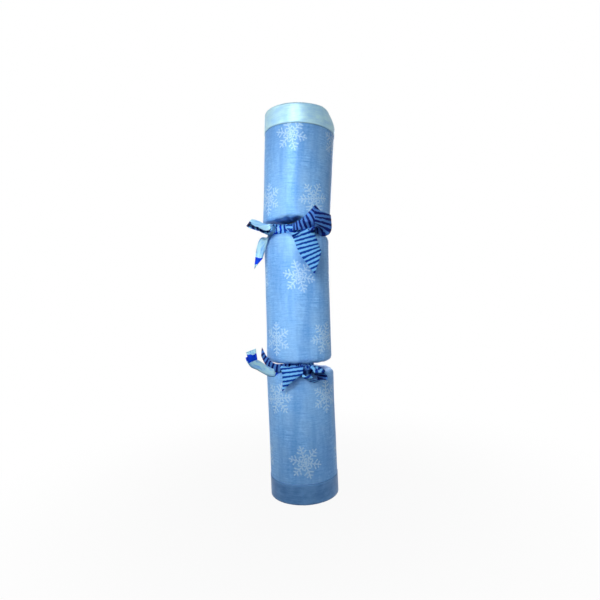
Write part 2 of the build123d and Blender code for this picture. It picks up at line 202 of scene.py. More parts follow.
# Values of grain between which a tone and a roughness change, shares of the finer grain in a tone, and
# how dark the threads of the pale and the deep ribbon get
TONE_RANGE = (0.35, 0.65)
PAPER_TONE_RANGE = (0.36, 0.64)
STREAK_RANGE = (0.42, 0.7)
WEAR_RANGE = (0.3, 0.6)
HIGHLIT_RANGE = (0.42, 0.66)
ROUGHNESS_RANGE = (0.3, 0.7)
ROUGHNESS_CHANGE = 0.08
FIBRE_SHARE = 0.65
FOIL_LINE_SHARE = 0.45
GRAIN_SHARE = 0.65
BROAD_GRAIN = 9
RIB_SHARE = 0.25
PALE_THREAD = 0.86
DEEP_THREAD = 0.7

# Height of the relief of the paper, foil and ribbon in millimetres
PAPER_RELIEF = 0.06
FOIL_RELIEF = 0.08
RIBBON_RELIEF = 0.08

# Camera as in the photograph, in millimetres, degrees and pixels of the 600 pixel frame
CAMERA_PLACE = (1.19, -341.4, 149.1)
CAMERA_YAW = 0.22
CAMERA_PITCH = 0.60
CAMERA_ROLL = -2.44
FOCAL_PIXELS = 421.7
FRAME_PIXELS = 600
SENSOR = 36.0
CLIP_START = 0.01

# Stage in metres: half of the floor, where the floor's shadow starts and fades, and its share that is
# plain white, then the surroundings as light
FLOOR_HALF = 3.0
SHADOW_START = 0.03
SHADOW_END = 0.3
SHADOW_SHARE = 0.94
AMBIENT = 0.08

# Lamps: place and aim in metres, size, power and spread
LAMPS = {
    "front": ((-0.06, -0.42, 0.42), (0, 0, 0.25), 0.5, 0.16, radians(60)),
    "barrel": ((-0.14, -0.36, 0.34), (0, 0, 0.17), 0.2, 0.085, radians(28)),
    "high_left": ((-0.42, -0.18, 0.42), (0, 0, 0.24), 0.3, 0.45, pi),
    "left": ((-0.5, -0.22, 0.12), (0, 0, 0.1), 0.25, 0.24, pi),
    "right": ((0.42, -0.3, 0.08), (0, 0, 0.04), 0.2, 0.03, radians(50)),
    "back": ((0.15, 0.7, 0.35), (0, 0, 0.16), 0.4, 2.0, pi)}


def joint(name):
    """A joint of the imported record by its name."""
    return next(entry for entry in frame["joints"] if entry["name"] == name)


def section_place(neck, axis, upside_down=False):
    """Matrix from a section's millimetres to the frame: its axis lies in the XZ plane."""
    tilt = atan2(axis[0], axis[2])
    turn = Matrix.Rotation(tilt, 4, "Y")
    if upside_down:
        turn = turn @ Matrix.Rotation(pi, 4, "Y")
    return Matrix.Translation(neck) @ turn @ Matrix.Scale(MM, 4)


lower_neck = Vector(joint("lower_tilt")["pos_m"])
upper_neck = Vector(joint("upper_tilt")["pos_m"])
barrel_axis = joint("upper_pull")["axis"]
upper_rim = next(mount for mount in frame["record"]["mounts"] if mount["name"] == "upper_rim")
upper_axis = Vector(upper_rim["axis"])

BARREL_PLACE = section_place(lower_neck, barrel_axis)
UPPER_PLACE = section_place(upper_neck, upper_axis)
LOWER_PLACE = section_place(lower_neck, (0, 0, 1), upside_down=True)
UPPER_BOW_PLACE = section_place(upper_neck, barrel_axis)
LOWER_BOW_PLACE = section_place(lower_neck, (0, 0, 1))

BARREL_LENGTH = (upper_neck - lower_neck).length / MM
LOWER_LENGTH = lower_neck.z / MM
UPPER_LENGTH = (Vector(upper_rim["pos_m"]) - upper_neck).dot(upper_axis) / MM


def node_width(name):
    """Width of a node from front to back, in millimetres."""
    low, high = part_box(name)
    return (high.y - low.y) / MM


BARREL_RADIUS = node_width("barrel_tube") / 2 + CARD_TO_PAPER
LOWER_RADIUS = node_width("lower_end_tube") / 2 + CARD_TO_PAPER
UPPER_RIM_RADIUS = node_width("upper_end_tube") / 2 + CARD_TO_PAPER
UPPER_RADIUS = UPPER_RIM_RADIUS - UPPER_FLARE


def round_point(turn, radius, height):
    """A point from its turn to the right of the front in radians, its radius and its height."""
    return Vector((radius * sin(turn), -radius * cos(turn), height))


def smooth(value):
    """Smooth step from 0 to 1."""
    value = min(max(value, 0.0), 1.0)
    return value * value * (3 - 2 * value)


def mesh_piece(name, points, faces, uvs, place, uv_name):
    """A smooth-shaded mesh object with one texture map, given per face corner in millimetres."""
    mesh = bpy.data.meshes.new(name)
    mesh.from_pydata([place @ point for point in points], [], faces)
    layer = mesh.uv_layers.new(name=uv_name)
    for loop, uv in enumerate(uvs):
        layer.data[loop].uv = uv
    mesh.polygons.foreach_set("use_smooth", [True] * len(mesh.polygons))
    piece = bpy.data.objects.new(name, mesh)
    bpy.context.scene.collection.objects.link(piece)
    return piece


def thicken(piece, thickness, offset):
    """Gives a sheet its thickness."""
    solid = piece.modifiers.new("thickness", "SOLIDIFY")
    solid.thickness = thickness * MM
    solid.offset = offset
    return solid


# Materials


class Look:
    """A node material, with short ways to add its nodes."""

    def __init__(self, name):
        self.material = bpy.data.materials.new(name)
        self.material.use_nodes = True
        self.tree = self.material.node_tree
        self.shader = self.tree.nodes["Principled BSDF"]

    def node(self, kind, values, **settings):
        made = self.tree.nodes.new("ShaderNode" + kind)
        for key, setting in settings.items():
            setattr(made, key, setting)
        for socket, value in values.items():
            self.feed(made.inputs[socket], value)
        return made

    def feed(self, socket, value):
        if isinstance(value, bpy.types.NodeSocket):
            self.tree.links.new(value, socket)
        else:
            socket.default_value = value

    def set(self, **values):
        for name, value in values.items():
            self.feed(self.shader.inputs[name.replace("_", " ")], value)

    def math(self, operation, *values):
        return self.node("Math", dict(enumerate(values)), operation=operation).outputs[0]

    def average(self, first, share, second):
        """One value by its share and another by the rest."""
        return self.math("ADD", self.math("MULTIPLY", first, share), self.math("MULTIPLY", second, 1 - share))

    def mix(self, share, low, high):
        return self.node("Mix", {0: share, 6: low, 7: high}, data_type="RGBA").outputs[2]

    def rise(self, value, low, high, start=0.0, end=1.0):
        values = {"Value": value, "From Min": low, "From Max": high, "To Min": start, "To Max": end}
        return self.node("MapRange", values, interpolation_type="SMOOTHSTEP").outputs[0]

    def scaled(self, vector, factors):
        return self.node("VectorMath", {0: vector, 1: factors}, operation="MULTIPLY").outputs[0]

    def noise(self, vector, scale, detail=3.0, roughness=0.55):
        values = {"Vector": vector, "Scale": scale, "Detail": detail, "Roughness": roughness}
        return self.node("TexNoise", values).outputs["Fac"]

    def parts(self, vector):
        return self.node("SeparateXYZ", {0: vector}).outputs

    def uv(self, name):
        return self.node("UVMap", {}, uv_map=name).outputs[0]

    def solid_place(self):
        """Place on a solid in millimetres."""
        place = self.node("TexCoord", {}).outputs["Object"]
        return self.scaled(place, (1 / MM,) * 3)

    def bump(self, height, depth, strength=1.0):
        values = {"Height": height, "Distance": depth * MM, "Strength": strength}
        self.set(Normal=self.node("Bump", values).outputs[0])


def colour(red, green, blue):
    """A colour in linear light from its 8-bit display values."""
    def linear(value):
        value /= 255
        return value / 12.92 if value <= 0.04045 else ((value + 0.055) / 1.055) ** 2.4
    return (linear(red), linear(green), linear(blue), 1.0)


def flakes(look, sheet):
    """Mask of the printed flakes on a sheet measured in millimetres."""
    across, up, _ = look.parts(sheet)
    rows = look.math("DIVIDE", up, FLAKE_ROW)
    row = look.math("FLOOR", rows)
    shift = look.math("MULTIPLY", look.math("MODULO", row, 2.0), 0.5)
    columns = look.math("ADD", look.math("DIVIDE", across, FLAKE_COLUMN), shift)
    column = look.math("FLOOR", columns)
    x = look.math("MULTIPLY", look.math("SUBTRACT", look.math("FRACT", columns), 0.5), FLAKE_COLUMN)
    y = look.math("MULTIPLY", look.math("SUBTRACT", look.math("FRACT", rows), 0.5), FLAKE_ROW)
    cell = look.node("CombineXYZ", {0: column, 1: row}).outputs[0]
    spin = look.node("TexWhiteNoise", {"Vector": cell}, noise_dimensions="2D").outputs["Value"]
    squares = look.math("ADD", look.math("MULTIPLY", x, x), look.math("MULTIPLY", y, y))
    radius = look.math("SQRT", squares)
    angle = look.math("ADD", look.math("ARCTAN2", y, x), look.math("MULTIPLY", spin, pi))
    sector = look.math("FLOORED_MODULO", angle, pi / 3)
    fold = look.math("ABSOLUTE", look.math("SUBTRACT", sector, pi / 6))
    along = look.math("MULTIPLY", radius, look.math("COSINE", fold))
    aside = look.math("MULTIPLY", radius, look.math("SINE", fold))
    mask = look.math(
        "MULTIPLY", look.math("LESS_THAN", aside, FLAKE_LINE), look.math("LESS_THAN", along, FLAKE_ARM))
    rise, run = sin(BRANCH_ANGLE), cos(BRANCH_ANGLE)
    for start, length in FLAKE_BRANCHES:
        ahead = look.math("SUBTRACT", along, start * FLAKE_ARM)
        off = look.math("SUBTRACT", look.math("MULTIPLY", ahead, rise), look.math("MULTIPLY", aside, run))
        out = look.math("ADD", look.math("MULTIPLY", ahead, run), look.math("MULTIPLY", aside, rise))
        line = look.math("LESS_THAN", look.math("ABSOLUTE", off), FLAKE_LINE)
        inside = look.math("COMPARE", out, length * FLAKE_ARM / 2, length * FLAKE_ARM / 2)
        mask = look.math("MAXIMUM", mask, look.math("MULTIPLY", line, inside))
    ring = look.math("COMPARE", along, FLAKE_RING * FLAKE_ARM, FLAKE_LINE)
    return look.math("MAXIMUM", mask, ring)


def paper_look():
    """Pearly laid paper with fibres along its width and a pale foil print."""
    look = Look("pearl_paper")
    sheet = look.uv("sheet")
    fibres = look.noise(look.scaled(sheet, FIBRE_SCALE), 1.0, detail=4.0, roughness=0.65)
    mottle = look.noise(sheet, MOTTLE_SCALE, detail=4.0, roughness=0.6)
    cloud = look.noise(sheet, CLOUD_SCALE, detail=2.0)
    streaks = look.noise(look.scaled(sheet, STREAK_SCALE), 1.0, detail=3.0)
    tone = look.average(fibres, FIBRE_SHARE, mottle)
    shade = look.mix(look.rise(tone, *PAPER_TONE_RANGE), colour(100, 160, 228), colour(146, 202, 254))
    shade = look.mix(look.rise(cloud, *TONE_RANGE, 0.0, 0.45), shade, colour(146, 194, 240))
    shade = look.mix(look.rise(streaks, *STREAK_RANGE, 0.0, 0.5), shade, colour(84, 146, 220))
    worn = look.rise(look.noise(sheet, WEAR_SCALE, detail=5.0), *WEAR_RANGE, 0.2, 0.85)
    print_mask = look.math("MULTIPLY", flakes(look, sheet), worn)
    look.set(
        Base_Color=look.mix(print_mask, shade, colour(184, 220, 250)),
        Roughness=look.math("SUBTRACT", 0.5, look.math("MULTIPLY", print_mask, 0.1)),
        Metallic=0.2, Specular_IOR_Level=0.15)
    relief = look.math("ADD", look.math("MULTIPLY", fibres, 0.7), look.math("MULTIPLY", print_mask, -0.25))
    look.bump(look.math("ADD", relief, look.math("MULTIPLY", mottle, 0.4)), PAPER_RELIEF)
    return look.material


def foil_look(name, light, dark):
    """Satin foil strip with fine lines round the rim."""
    look = Look(name)
    place = look.solid_place()
    lines = look.noise(look.scaled(place, FOIL_LINE_SCALE), 1.0, detail=4.0, roughness=0.7)
    crinkle = look.noise(look.scaled(place, CRINKLE_SCALE), 1.0, detail=3.0)
    tone = look.average(lines, FOIL_LINE_SHARE, crinkle)
    look.set(
        Base_Color=look.mix(look.rise(tone, *TONE_RANGE), dark, light),
        Roughness=look.rise(lines, *ROUGHNESS_RANGE, 0.34, 0.5),
        Metallic=0.3, Specular_IOR_Level=0.3)
    look.bump(look.math("ADD", lines, crinkle), FOIL_RELIEF)
    return look.material


def woven(look, strip, pale, deep, print_mask):
    """Ribbed weave with a hem, in a deep colour and a pale one, which may be a mix already."""
    along, aside, _ = look.parts(strip)
    thread = look.noise(look.scaled(strip, THREAD_SCALE), 1.0, detail=2.0)
    light = pale
    if not isinstance(pale, bpy.types.NodeSocket):
        light = look.mix(thread, [PALE_THREAD * part for part in pale], pale)
    dark = look.mix(thread, [DEEP_THREAD * part for part in deep], deep)
    look.set(Base_Color=look.mix(print_mask, light, dark), Roughness=0.55, Specular_IOR_Level=0.08)
    ribs = look.math("SINE", look.math("MULTIPLY", along, 2 * pi / RIB))
    hem = look.rise(look.math("ABSOLUTE", aside), HEM_START * RIBBON_WIDTH, RIBBON_WIDTH / 2)
    relief = look.math("ADD", look.math("MULTIPLY", ribs, RIB_SHARE), look.math("ADD", thread, hem))
    look.bump(relief, RIBBON_RELIEF)
    return look.material


def ribbon_look(name, light, dark):
    """Face of the ribbon, with stripes across its length."""
    look = Look(name)
    strip = look.uv("strip")
    drift = look.math("MULTIPLY", look.noise(strip, 0.35, detail=2.0), STRIPE_DRIFT)
    phase = look.math("ADD", look.math("DIVIDE", look.parts(strip)[0], STRIPE), drift)
    wave = look.math("SINE", look.math("MULTIPLY", phase, 2 * pi))
    return woven(look, strip, light, dark, look.rise(wave, STRIPE_EDGE, -STRIPE_EDGE))


def highlit_ribbon_look():
    """Pale face of the ribbon, painted highlight that stands for its stripes washed out by strong light,
    streaked along it, with broad blue blocks from near its cut end.
    """
    look = Look("ribbon_painted_highlight")
    strip = look.uv("strip")
    drift = look.math("MULTIPLY", look.noise(strip, 0.3, detail=1.0), BLOCK_DRIFT)
    back = look.math("SUBTRACT", look.math("SUBTRACT", drift, BLOCK_MARGIN), look.parts(strip)[0])
    place = look.math("FLOORED_MODULO", back, BLOCK_PITCH)
    block = look.math("LESS_THAN", place, BLOCK_LENGTH)
    streaks = look.rise(look.noise(look.scaled(strip, HIGHLIT_SCALE), 1.0), *HIGHLIT_RANGE, 0.1, 0.8)
    pale = look.mix(streaks, colour(192, 240, 255), colour(96, 176, 252))
    return woven(look, strip, pale, colour(8, 70, 240), block)


def grained_look(name, dark, light, grain, stretch, roughness, depth):
    """A dull material with grain: card, tissue, plain paper or wood."""
    look = Look(name)
    place = look.solid_place()
    fine = look.noise(look.scaled(place, stretch), grain, detail=5.0, roughness=0.65)
    broad = look.noise(place, grain / BROAD_GRAIN, detail=2.0)
    tone = look.average(fine, GRAIN_SHARE, broad)
    look.set(
        Base_Color=look.mix(look.rise(tone, *TONE_RANGE), dark, light),
        Roughness=look.rise(
            fine, *ROUGHNESS_RANGE, roughness - ROUGHNESS_CHANGE, roughness + ROUGHNESS_CHANGE))
    look.bump(fine, depth)
    return look.material


def dress(node, material):
    """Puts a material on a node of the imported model."""
    frame["nodes"][node].data.materials.clear()
    frame["nodes"][node].data.materials.append(material)


# Paper


def gather(turn):
    """Uneven folds round a choke, from -1 in a valley to 1 on a ridge."""
    drifted = turn + sum(size * sin(count * turn + start) for size, count, start in FOLD_DRIFTS)
    size, count, start = FOLD_DEPTH_CHANGE
    return sin(FOLDS * drifted) * (FOLD_DEPTH + size * sin(count * turn + start))


def choke_rows(face_radius, half_gap, rounding, necked):
    """Outline of a choked end, from its inner edge out to the side.

    Each row is a radius, a height from the middle of the choke, and the folds' share of both."""
    lip = half_gap - LIP_DROP
    flat_radius = face_radius - rounding
    rows = []
    if necked:
        low = -lip - NECK_OVERLAP
        for step in range(SHOULDER_STEPS):
            rows.append((NECK_RADIUS, low + (lip - low) * step / SHOULDER_STEPS, NECK_FOLD, 0.0))
    edge_radius, edge_fold = (NECK_RADIUS, NECK_FOLD) if necked else (LIP_RADIUS, LIP_FOLD)
    for step in range(SHOULDER_STEPS):
        share = step / SHOULDER_STEPS
        radius = edge_radius + (flat_radius - edge_radius) * share
        fold = SHOULDER_FOLD + (CORNER_FOLD - SHOULDER_FOLD) * share
        fold_out = edge_fold * (1 - smooth(LIP_FADE * share))
        rows.append((radius, lip + LIP_DROP * share, fold_out, fold * smooth(SHOULDER_RISE * share)))
    for step in range(CORNER_STEPS + 1):
        angle = pi / 2 * step / CORNER_STEPS
        radius = flat_radius + rounding * sin(angle)
        height = half_gap + rounding * (1 - cos(angle))
        rows.append((radius, height, SIDE_FOLD * sin(angle), CORNER_FOLD * cos(angle)))
    return rows


def side_rows(start, end, start_radius, end_radius):
    """Outline of a straight or flared side, without its first row."""
    count = round(abs(end - start) / SIDE_STEP)
    rows = []
    for step in range(1, count + 1):
        share = step / count
        height = start + (end - start) * share
        rows.append((start_radius + (end_radius - start_radius) * share, height, 0.0, 0.0))
    return rows


def side_fold(height, corners):
    """Share of the folds that is left on a side at a height."""
    return sum(exp(-abs(height - corner) / FOLD_REACH) for corner in corners)


def seam_step(turn, radius):
    """Rise of the sheet over its own glued edge at the back, with its step on the left."""
    past = (pi - turn) * radius
    return PAPER * (1 - past / SEAM_WIDTH) if past < SEAM_WIDTH else 0.0


def dent(turn, below):
    """How far the upper rim is pressed in at a turn, and less below it."""
    start = smooth((degrees(turn) - DENT_START) / DENT_EASE)
    end = smooth((DENT_END - degrees(turn)) / DENT_EASE)
    return DENT_DEPTH * start * end * max(1 - below / DENT_REACH, 0.0) ** DENT_CURVE


def lift(turn, height):
    """How far the gathered edge of the upper end is drawn up at a turn, and less above it."""
    share = smooth(1 - abs(degrees(turn) - LIFT_TURN) / LIFT_SPAN)
    return LIFT_HEIGHT * share * smooth(1 - (height - UPPER_HALF_GAP) / LIFT_REACH)


def upper_press(turn, height):
    """How far the paper of the upper end is moved out and up from its turned form."""
    return -dent(turn, UPPER_LENGTH - height), lift(turn, height)


def no_press(turn, height):
    """Paper that keeps its turned form."""
    return 0.0, 0.0


def waves(turn, height, corners):
    """Broad waves down a side from its folded corners."""
    turn -= radians(WAVE_TURN)
    shape = WAVE_SHARE * cos(WAVES * turn) + (1 - WAVE_SHARE) * cos(FINER_WAVES * turn)
    return WAVE_DEPTH * shape * sum(exp(-abs(height - corner) / WAVE_REACH) for corner in corners)


def uneven(turn, radius, height):
    """Slight hollows and swells of a paper side, longer than they are wide."""
    place = Vector((radius * cos(turn), radius * sin(turn), height * UNEVEN_ROUND / UNEVEN_LONG))
    return UNEVEN_DEPTH * noise.noise(place / UNEVEN_ROUND)


def skin(name, rings, travel, girth, place):
    """A closed skin through rings of points, mapped in millimetres round it and along it."""
    faces, uvs = [], []
    for row in range(len(rings) - 1):
        low, high = row * COLUMNS, (row + 1) * COLUMNS
        for column in range(COLUMNS):
            after = (column + 1) % COLUMNS
            faces.append((low + column, low + after, high + after, high + column))
            left, right = girth * column / COLUMNS, girth * (column + 1) / COLUMNS
            for aside, row_travel in ((left, 0), (right, 0), (right, 1), (left, 1)):
                uvs.append((aside, travel[row + row_travel]))
    points = [point for ring in rings for point in ring]
    return mesh_piece(name, points, faces, uvs, place, "sheet")


def column_turn(column):
    """Turn of a column of a skin, from the back round by the left."""
    return 2 * pi * (column + 0.5) / COLUMNS - pi


def paper_wrap(name, body, place, rows, corners, folded, press):
    """A wrap turned from its outline, with its seam at the back and folds from its folded corners."""
    rings = []
    travel = [0.0]
    for before, after in zip(rows, rows[1:]):
        travel.append(travel[-1] + sqrt((after[0] - before[0]) ** 2 + (after[1] - before[1]) ** 2))
    side_start = next(index for index, row in enumerate(rows) if row[1] >= corners[0])
    travel = [reach - travel[side_start] + FLAKE_START for reach in travel]
    girth = 2 * pi * max(row[0] for row in rows)
    for radius, height, fold_out, fold_up in rows:
        on_side = corners[0] <= height <= corners[-1]
        outward = SIDE_FOLD * side_fold(height, folded)
        overlap = smooth((height - corners[0]) / SEAM_INSET) * smooth((corners[-1] - height) / SEAM_INSET)
        level = smooth((height - corners[0]) / UNEVEN_EASE) * smooth((corners[-1] - height) / UNEVEN_EASE)
        way = 1 if height > (corners[0] + corners[-1]) / 2 else -1
        ring = []
        for turn in map(column_turn, range(COLUMNS)):
            wave = gather(turn)
            out = outward * (1 + wave) / 2 if on_side else fold_out * wave
            out += overlap * seam_step(turn, radius)
            out += level * (waves(turn, height, folded) + uneven(turn, radius, height))
            press_out, press_up = press(turn, height)
            up = press_up - way * fold_up * wave
            ring.append(round_point(turn, radius + out + press_out, height + up))
        rings.append(ring)
    piece = skin(name, rings, travel, girth, place)
    thicken(piece, PAPER, -1)
    piece.data.materials.append(PAPER_LOOK)
    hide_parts(name.replace("_paper", "_wrap"))
    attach(piece, body)


def end_paper(name, body, place, length, choke_radius, rim_radius, half_gap, rounding, necked, press):
    """Paper of an end section."""
    corner = half_gap + rounding
    rows = choke_rows(choke_radius, half_gap, rounding, necked)
    rows += side_rows(corner, length, choke_radius, rim_radius)
    paper_wrap(name, body, place, rows, (corner, length - BAND_WIDTH), (corner,), press)


def lap_step(turn, lap_turn, radius):
    """Rise of a foil strip over its own end, highest at the free end."""
    past = (lap_turn - turn) * radius
    return FOIL * (1 - past / FOIL_LAP) if 0 <= past < FOIL_LAP else 0.0


def foil_band(name, body, place, length, low_radius, rim_radius, lap_turn, pressed, look):
    """Foil strip round a rim, lapped over its own end."""
    rings, travel = [], []
    for row in range(BAND_ROWS + 1):
        share = row / BAND_ROWS
        below = BAND_WIDTH * (1 - share)
        radius = low_radius + (rim_radius - low_radius) * share + FOIL_PROUD
        ring = []
        for turn in map(column_turn, range(COLUMNS)):
            out = lap_step(turn, radians(lap_turn), radius) - (dent(turn, below) if pressed else 0.0)
            ring.append(round_point(turn, radius + out, length - below))
        rings.append(ring)
        travel.append(BAND_WIDTH * share)
    piece = skin(name, rings, travel, 2 * pi * rim_radius, place)
    thicken(piece, FOIL, -1)
    piece.data.materials.append(look)
    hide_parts(name.replace("_foil", "_trim_band"))
    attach(piece, body)


def pressed_tube():
    """Card tube inside the upper end, pressed in with the paper at its rim."""
    low = UPPER_HALF_GAP + UPPER_END_ROUNDING + LIFT_HEIGHT
    rings, travel = [], []
    for row in range(CARD_ROWS + 1):
        share = row / CARD_ROWS
        height = low + (UPPER_LENGTH - low) * share
        radius = UPPER_RADIUS + UPPER_FLARE * share - CARD_TO_PAPER
        ring = []
        for turn in map(column_turn, range(COLUMNS)):
            ring.append(round_point(turn, radius - dent(turn, UPPER_LENGTH - height), height))
        rings.append(ring)
        travel.append(height - low)
    piece = skin("upper_end_card", rings, travel, 2 * pi * UPPER_RADIUS, UPPER_PLACE)
    thicken(piece, CARD, -1)
    piece.data.materials.append(CARD_LOOK)
    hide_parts("upper_end_tube")
    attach(piece, "upper_end")


def barrel_paper():
    """Paper of the barrel, torn below and with its gathered neck above."""
    low_corner = LOWER_HALF_GAP + SHOULDER_ROUNDING
    high_corner = BARREL_LENGTH - UPPER_HALF_GAP - UPPER_BARREL_ROUNDING
    rows = choke_rows(BARREL_RADIUS, LOWER_HALF_GAP, SHOULDER_ROUNDING, necked=False)
    rows += side_rows(low_corner, high_corner, BARREL_RADIUS, BARREL_RADIUS)
    top = choke_rows(BARREL_RADIUS, UPPER_HALF_GAP, UPPER_BARREL_ROUNDING, necked=True)
    rows += [(row[0], BARREL_LENGTH - row[1], row[2], row[3]) for row in reversed(top)][1:]
    corners = (low_corner, high_corner)
    paper_wrap("barrel_paper", "barrel", BARREL_PLACE, rows, corners, corners, no_press)


# Ribbons


def spline(rows, share):
    """Smooth curve through rows of numbers, at a share of the way from the first to the last."""
    last = len(rows) - 1
    place = min(max(share, 0.0), 1.0) * last
    index = min(int(place), last - 1)
    part = place - index
    before, start, end, after = (rows[min(max(index + step, 0), last)] for step in (-1, 0, 1, 2))
    result = []
    for a, b, c, d in zip(before, start, end, after):
        curve = (2 * a - 5 * b + 4 * c - d) * part + (3 * b - a - 3 * c + d) * part * part
        result.append(b + part * (c - a + curve) / 2)
    return result


def cross_offsets(aside, spread):
    """Place of a point across a ribbon that is drawn together: aside and out of its face.

    A loosely drawn ribbon bends into a trough, a tightly drawn one lies in flat pleats. The trough's
    half angle is that of an arc whose chord has the spread's share of the width."""
    half = sqrt(6 * (1 - spread)) * (1 + TROUGH_BEND * (1 - spread)) + LEAST_BEND
    trough = RIBBON_WIDTH / 2 / half
    angle = 2 * half * aside / RIBBON_WIDTH
    loose_aside = trough * sin(angle)
    loose_out = trough * (cos(angle) - (1 + cos(half)) / 2)
    place = PLEATS * (aside / RIBBON_WIDTH + 0.5)
    pleat = min(int(place), PLEATS - 1)
    way = 1 - 2 * (pleat % 2)
    tight_aside = way * (place - pleat - 0.5) * RIBBON_WIDTH * spread
    tight_out = PLEAT_STEP * (place - PLEATS / 2)
    tight = smooth((TROUGH_SPREAD - spread) / (TROUGH_SPREAD - PLEATED_SPREAD))
    return loose_aside + tight * (tight_aside - loose_aside), loose_out + tight * (tight_out - loose_out)


def ribbon_strip(rows, slant):
    """Points, faces and map of one run of ribbon.

    Each row is the turn from the front in degrees, radius, height, the three parts of the direction
    across the ribbon (round, out, up) and how far it is spread: 1 flat, less where it is gathered."""
    centres = [spline(rows, step / RUN_SAMPLES) for step in range(RUN_SAMPLES + 1)]
    places = [round_point(radians(row[0]), row[1], row[2]) for row in centres]
    travel = [0.0]
    for before, after in zip(places, places[1:]):
        travel.append(travel[-1] + (after - before).length)
    length = travel[-1]
    steps = max(round(length / ALONG_STEP), LEAST_STEPS)
    points, faces, uvs, lengths = [], [], [], []
    for step in range(steps + 1):
        for side in range(ACROSS_STEPS + 1):
            aside = RIBBON_WIDTH * (side / ACROSS_STEPS - 0.5)
            reach = step / steps * (length - abs(slant) * RIBBON_WIDTH / 2 + slant * aside)
            index = min(next(i for i, value in enumerate(travel) if value >= reach), RUN_SAMPLES - 1)
            points.append(cross_point(centres, places, index, aside))
            lengths.append((reach, aside))
    width = ACROSS_STEPS + 1
    for step in range(steps):
        for side in range(ACROSS_STEPS):
            corners = [step * width + side, (step + 1) * width + side]
            corners += [corners[1] + 1, corners[0] + 1]
            faces.append(tuple(corners))
            uvs += [lengths[corner] for corner in corners]
    return points, faces, uvs, length


def cross_point(centres, places, index, aside):
    """A point of the ribbon at a distance aside from its centre line."""
    turn, radius, height, around, out, up, spread = centres[index]
    turn = radians(turn)
    ahead = places[min(index + 1, len(places) - 1)] - places[max(index - 1, 0)]
    right = Vector((cos(turn), sin(turn), 0))
    outward = Vector((sin(turn), -cos(turn), 0))
    tangent = Vector((ahead.dot(right), ahead.dot(outward), ahead.z)).normalized()
    across = Vector((around, out, up))
    across = (across - tangent * across.dot(tangent)).normalized()
    normal = tangent.cross(across)
    wide, deep = cross_offsets(aside, min(max(spread, LEAST_SPREAD), 1.0))
    offset = across * wide + normal * deep
    return round_point(turn + offset.x / radius, radius + offset.y, height + offset.z)


def ribbon_piece(name, body, place, strips):
    """One tied ribbon from its runs: each its rows, the slant of its cut end and its print."""
    points, faces, uvs, prints = [], [], [], []
    for rows, slant, sides in strips:
        run_points, run_faces, run_uvs, length = ribbon_strip(rows, slant)
        prints += [sides] * len(run_faces)
        faces += [tuple(corner + len(points) for corner in face) for face in run_faces]
        points += run_points
        uvs += [(reach - length, aside) for reach, aside in run_uvs]
    piece = mesh_piece(name, points, faces, uvs, place, "strip")
    solid = thicken(piece, RIBBON_THICKNESS, 0)
    solid.material_offset = 1
    # A face shows the look of its print on one side and the next one here on the other: two copies darkened
    # as painted shade, two striped, then the pale painted highlight face
    for look in (SHADED_RIBBON_LOOK, SHADED_RIBBON_LOOK, RIBBON_LOOK, RIBBON_LOOK, HIGHLIT_RIBBON_LOOK):
        piece.data.materials.append(look)
    piece.data.polygons.foreach_set("material_index", prints)
    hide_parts(name.replace("_bow", "_ribbon"))
    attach(piece, body)


# Print of a run: stripes darkened as painted shade, stripes with painted shade inside, stripes, stripes with
# the pale painted highlight face behind, the pale painted highlight face
SHADED_PRINT, SHADED_INSIDE, STRIPED, ONE_SIDE, HIGHLIT_FACE = range(5)


def rope():
    """The ribbon drawn together round the neck."""
    turns = range(KNOT_TURN, KNOT_TURN + FULL_TURN + 1, ROPE_STEP)
    return [(turn, ROPE_RADIUS, 0, 0, 0, 1, LEAST_SPREAD) for turn in turns], 0.0, STRIPED


def knot(half_height, middle):
    """The turn of ribbon that ties the bow, over its front."""
    rows = []
    for radius, up in KNOT_SIDE:
        rows.append((KNOT_TURN, radius, middle + half_height * up, 1, 0, 0, KNOT_SPREAD))
    return rows, 0.0, STRIPED


def open_loop(turn, radius, height, half_long, half_short, lean, across):
    """Rows of a loop that stands open to the front, as an oval that falls to the right."""
    rows = []
    for step in range(LOOP_STEPS + 1):
        angle = LOOP_START + LOOP_SWEEP * step / LOOP_STEPS
        aside, up = -half_long * cos(angle), half_short * sin(angle)
        right = aside * cos(lean) + up * sin(lean)
        rise = up * cos(lean) - aside * sin(lean)
        spread = min(1.0, LOOP_SPREAD * (1 + min(step, LOOP_STEPS - step)))
        rows.append((turn + degrees(right / radius), radius, height + rise, *across, spread))
    return rows


# Runs of the two bows. A row is the turn, radius and height, then the direction across the ribbon
# (round, out, up) and how far it is spread.
UPPER_FRONT_TAIL = [
    (KNOT_TURN, 14.2, -1.0, 1, 0, 0.2, 0.3), (-2, 21.0, -2.2, 1, 0, 0.2, 0.7),
    (8, 26.0, -3.6, 1, 0, 0.21, 1.0), (11.5, 27.4, -6.0, 1, 0, 0.23, 1.0),
    (15.3, 28.6, -11.9, 1, 0, 0.25, 1.0), (19.5, 31.0, -19.4, 1, -0.05, 0.28, 1.0),
    (26.5, 34.5, -27.5, 1, -0.1, 0.3, 1.0), (31.5, 37.0, -34.0, 1, -0.1, 0.3, 1.0)]
UPPER_LEFT_TAIL = [
    (KNOT_TURN, 12.8, -1.0, 0, 0, -1, 0.28), (-40, 15.5, -2.6, -0.2, 0, -1, 0.3),
    (-55, 23.5, -5.0, -0.6, 0.2, -0.7, 0.36), (-60.5, 28.6, -9.0, -0.6, 0.7, -0.3, 0.4),
    (-64.5, 30.5, -14.5, -0.6, 0.8, 0, 0.4), (-66, 32.0, -21.5, -0.75, 0.65, 0, 0.36),
    (-68.5, 33.3, -31.0, -0.85, 0.5, 0, 0.32)]
